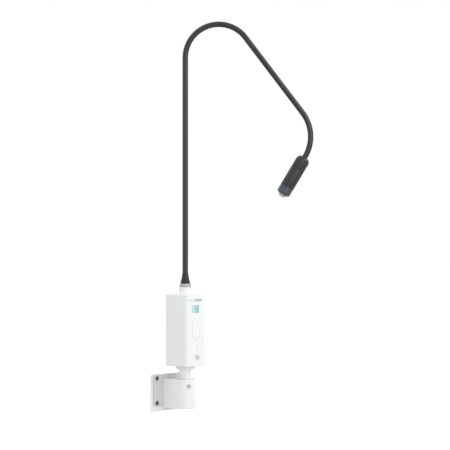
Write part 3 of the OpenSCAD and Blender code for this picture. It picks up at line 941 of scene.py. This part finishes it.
def bend_path(a, corner, b, step):
    """Points from a to b that turn at the corner on an arc, with the tangent at each."""
    u, v = (a - corner), (b - corner)
    la, lb = u.length, v.length
    u.normalize(), v.normalize()
    turn = math.pi - u.angle(v)
    points = []
    if turn < 1e-3:
        n = max(2, round((la + lb) / step))
        return [(a + (b - a) * (k / n), (b - a).normalized()) for k in range(n + 1)]
    t = min(la, lb)
    radius = t / math.tan(turn / 2)
    s, e = corner + u * t, corner + v * t
    inner = corner + (u + v).normalized() * (radius / math.cos(turn / 2))
    axis = (s - inner).cross(e - inner).normalized()
    total = (la - t) + radius * turn + (lb - t)
    n = max(2, round(total / step))
    for k in range(n + 1):
        d = total * k / n
        if d < la - t:
            points.append((a - u * d, -u))
        elif d > la - t + radius * turn:
            points.append((e + v * (d - (la - t) - radius * turn), v.copy()))
        else:
            rot = Matrix.Rotation((d - (la - t)) / radius, 3, axis)
            points.append((inner + rot @ (s - inner), rot @ -u))
    return points


def sleeve(name, path, ripple, start_run=0.0):
    """A black tube on a path, with a faint ripple that starts and ends in a hollow."""
    length = sum((b[0] - a[0]).length for a, b in zip(path, path[1:]))
    waves = max(1, round(length / RIPPLE_PITCH))
    rings, uvs, run = [], [], 0.0
    for k, (p, d) in enumerate(path):
        if k:
            run += (p - path[k - 1][0]).length
        other = SIDE.cross(d).normalized()
        wave = 0.5 - 0.5 * math.cos(2 * math.pi * waves * run / length)
        r = ARM_R - ripple * (1 - wave)
        ring = []
        for i in range(SLEEVE_POINTS):
            a = 2 * math.pi * i / SLEEVE_POINTS
            ring.append(p + SIDE * (r * math.cos(a)) + other * (r * math.sin(a)))
            uvs.append((a * ARM_R, start_run + run))
        rings.append(ring)
    verts, faces = rings_to_mesh(rings, False, False)
    faces = [tuple(reversed(f)) for f in faces]
    return make_object(name, verts, faces, JACKET, 60, uvs), length


stalk_start = Vector((POST.x, POST.y, low("stalk_jacket").z + STALK_INTO_NUT))
stalk_len = (mids[0] - stalk_start).length
n = round(stalk_len / STALK_STEP)
stalk_path = [(stalk_start + UP * (stalk_len * k / n), UP.copy()) for k in range(n + 1)]
stalk, run = sleeve("stalk_sleeve", stalk_path, 0.0)
# the last ring comes in to the neck's first hollow
for v in stalk.data.vertices:
    if v.co.z > mids[0].z - 0.02 * MM:
        flat = Vector((v.co.x - POST.x, v.co.y - POST.y, 0))
        flat.normalize()
        v.co.x = POST.x + flat.x * (ARM_R - RIPPLE)
        v.co.y = POST.y + flat.y * (ARM_R - RIPPLE)
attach(stalk, "lamp_post")
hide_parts("stalk_jacket")

for i, joint in enumerate(NECK_JOINTS):
    path = bend_path(mids[i], joint_at[i], mids[i + 1], RING_STEP)
    piece, length = sleeve(f"neck_sleeve_{i + 1:02d}", path, RIPPLE, run)
    run += length
    covered = "neck_end" if i == len(NECK_JOINTS) - 1 else f"neck_link_{i + 1:02d}"
    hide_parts(covered)
    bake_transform(piece)

# ---------------------------------------------------------------- lamp head

HEAD_R = 14.75 * MM
HEAD_L = 90 * MM
CAP_END = 16 * MM
SHELL_END = 72 * MM
SHOULDER_H = 11.0 * MM
SHOULDER_R = ARM_R + 0.9 * MM
GRIP_GROOVES, GRIP_PITCH, GRIP_START = 3, 3.4 * MM, 6 * MM
FRONT_ROUND = 5.5 * MM
LENS_R = 8.0 * MM
LENS_GAP = 0.3 * MM
DOME_START = HEAD_L + 3.2 * MM
DOME_H = 2.2 * MM
HEAD_SEGMENTS = 72
at_head = Matrix.Translation(HEAD_REAR) @ HEAD_AXIS.to_track_quat("Z", "Y").to_matrix().to_4x4()


def quarter(steps):
    """Cosine and sine from 0 to 90 degrees."""
    return [(math.cos(a), math.sin(a)) for a in (k / steps * math.pi / 2 for k in range(steps + 1))]


shoulder = [(SHOULDER_R + (HEAD_R - SHOULDER_R) * s, SHOULDER_H * (1 - c), 0) for c, s in quarter(16)]
cap = lathe("head_rear_cap", [
    (ARM_R - 0.3 * MM, 3.0 * MM, 0), (ARM_R + 0.1 * MM, 0.4 * MM, 0.2 * MM), (ARM_R + 0.5 * MM, 0, 0.15 * MM),
    *shoulder, (HEAD_R, CAP_END, 0.3 * MM), (HEAD_R - 0.6 * MM, CAP_END + 0.05 * MM, 0.2 * MM),
    (HEAD_R - 0.7 * MM, CAP_END + 3 * MM, 0)], at_head, HEAD, HEAD_SEGMENTS, 35, 10)
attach(cap, "lamp_head")
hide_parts("head_cap")

barrel_profile = [
    (HEAD_R - 1.2 * MM, CAP_END + 0.9 * MM, 0), (HEAD_R - 0.4 * MM, CAP_END + 0.5 * MM, 0.2 * MM),
    (HEAD_R, CAP_END + 0.9 * MM, 0.3 * MM)]
for k in range(GRIP_GROOVES):
    h = CAP_END + GRIP_START + k * GRIP_PITCH
    barrel_profile += [(HEAD_R, h, 0.15 * MM), (HEAD_R - 0.5 * MM, h + 0.2 * MM, 0.1 * MM),
                       (HEAD_R - 0.5 * MM, h + 0.9 * MM, 0.1 * MM), (HEAD_R, h + 1.1 * MM, 0.15 * MM)]
barrel_profile += [(HEAD_R, SHELL_END - 0.3 * MM, 0.25 * MM), (HEAD_R - 0.7 * MM, SHELL_END, 0.1 * MM),
                   (HEAD_R - 1.6 * MM, SHELL_END, 0)]
barrel = lathe("head_barrel", barrel_profile, at_head, HEAD, HEAD_SEGMENTS, 35, 3)
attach(barrel, "lamp_head")
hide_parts("head_shell")

# the front ring starts with a spigot that stands in the barrel's mouth
spigot_r, spigot_start = HEAD_R - 1.75 * MM, SHELL_END - 3 * MM
round_r, round_z = HEAD_R - FRONT_ROUND, HEAD_L - FRONT_ROUND
front_arc = [(round_r + FRONT_ROUND * c, round_z + FRONT_ROUND * s, 0) for c, s in quarter(14)]
front = lathe("head_front_ring", [
    (HEAD_R - 2.1 * MM, spigot_start, 0), (spigot_r, spigot_start, 0.1 * MM),
    (spigot_r, SHELL_END + 0.3 * MM, 0.1 * MM), (HEAD_R - 0.4 * MM, SHELL_END + 0.3 * MM, 0.2 * MM),
    (HEAD_R, SHELL_END + 0.7 * MM, 0.25 * MM), (HEAD_R, SHELL_END + 4 * MM, 0.15 * MM),
    (HEAD_R - 0.5 * MM, SHELL_END + 4.3 * MM, 0.1 * MM), (HEAD_R - 0.5 * MM, SHELL_END + 5 * MM, 0.1 * MM),
    (HEAD_R, SHELL_END + 5.3 * MM, 0.15 * MM), *front_arc,
    (LENS_R + LENS_GAP, HEAD_L, 0.15 * MM), (LENS_R + LENS_GAP, HEAD_L - 4.5 * MM, 0)],
    at_head, FRONT_RING, HEAD_SEGMENTS, 40, 5)
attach(front, "lamp_head")
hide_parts("head_bezel")

# the lens: a disc seated behind the ring, and a body with a low dome that stands out of it
seat_r = HEAD_R - 2.15 * MM
lens_profile = [(0.0, HEAD_L - 6 * MM, 0), (seat_r, HEAD_L - 6 * MM, 0.2 * MM),
                (seat_r, HEAD_L - 4.8 * MM, 0.2 * MM), (LENS_R, HEAD_L - 4.6 * MM, 0.2 * MM)]
lens_profile += [(LENS_R * c, DOME_START + DOME_H * s, 0) for c, s in quarter(12)]
lens_profile[-1] = (0.0, DOME_START + DOME_H, 0)
lens = lathe("front_lens", lens_profile, at_head, LENS, HEAD_SEGMENTS, 50, 3)
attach(lens, "lamp_head")
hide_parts("head_lens")

# ---------------------------------------------------------------- stage and light

# the camera sees a plain white studio; the object is lit by a very slightly bluer one
FLOOR_Z = -1.2
FLOOR_HALF = 60
world = bpy.data.worlds.new("studio")
bpy.context.scene.world = world
world.use_nodes = True
tree = world.node_tree
tree.nodes.clear()
out = tree.nodes.new("ShaderNodeOutputWorld")
seen, lit = tree.nodes.new("ShaderNodeBackground"), tree.nodes.new("ShaderNodeBackground")
seen.inputs[0].default_value, seen.inputs[1].default_value = (1, 1, 1, 1), 1.0
lit.inputs[0].default_value, lit.inputs[1].default_value = (0.97, 0.985, 1, 1), 1.03
path = tree.nodes.new("ShaderNodeLightPath")
mix = tree.nodes.new("ShaderNodeMixShader")
tree.links.new(path.outputs["Is Camera Ray"], mix.inputs[0])
tree.links.new(lit.outputs[0], mix.inputs[1])
tree.links.new(seen.outputs[0], mix.inputs[2])
tree.links.new(mix.outputs[0], out.inputs[0])

# a pale floor that glows to the camera and is plain paint to all other light
floor_mesh = bpy.data.meshes.new("floor")
floor_corners = [(x * FLOOR_HALF, y * FLOOR_HALF, FLOOR_Z) for x, y in ((-1, -1), (1, -1), (1, 1), (-1, 1))]
floor_mesh.from_pydata(floor_corners, [], [(0, 1, 2, 3)])
floor = bpy.data.objects.new("floor", floor_mesh)
bpy.context.scene.collection.objects.link(floor)
floor_look = Nodes("floor_paint")
floor_look.link(
    floor_look.mix(floor_look.noise(floor_look.where(), 0.8, 2), (0.10, 0.10, 0.10), (0.12, 0.12, 0.12)),
    floor_look.s.inputs["Base Color"])
floor_look.set(Roughness=0.9, Emission_Color=(1, 1, 1, 1), Emission_Strength=0.93)
dim = floor_look.add("ShaderNodeBsdfDiffuse")
dim.inputs["Color"].default_value = (0.72, 0.72, 0.72, 1)
pick = floor_look.add("ShaderNodeMixShader")
floor_look.link(floor_look.add("ShaderNodeLightPath").outputs["Is Camera Ray"], pick.inputs[0])
floor_look.link(dim.outputs[0], pick.inputs[1])
floor_look.link(floor_look.s.outputs[0], pick.inputs[2])
floor_look.link(pick.outputs[0], floor_look.out.inputs["Surface"])
floor_mesh.materials.append(floor_look.m)


def area_light(name, place, aim, size, power):
    """A soft white light that faces a point and isn't seen itself."""
    data = bpy.data.lights.new(name, "AREA")
    data.shape, data.size, data.size_y = "RECTANGLE", size[0], size[1]
    data.energy = power
    obj = bpy.data.objects.new(name, data)
    bpy.context.scene.collection.objects.link(obj)
    obj.location = place
    obj.rotation_mode = "QUATERNION"
    obj.rotation_quaternion = (aim - place).to_track_quat("-Z", "Y")
    obj.visible_camera = False


# seen by the camera, REACH points right
AIM = POST + UP * 0.35
area_light("key", AIM + to_camera * 0.35 + REACH * 2.3 + UP * 1.5, AIM, (1.3, 1.3), 16)
area_light("front", AIM + to_camera * 2.2 + REACH * 1.3 + UP * 0.35, AIM + UP * 0.15, (1.3, 1.2), 11)

scene = bpy.context.scene
scene.view_settings.view_transform = "Standard"
scene.view_settings.look = "None"
scene.view_settings.exposure = 0
scene.view_settings.gamma = 1
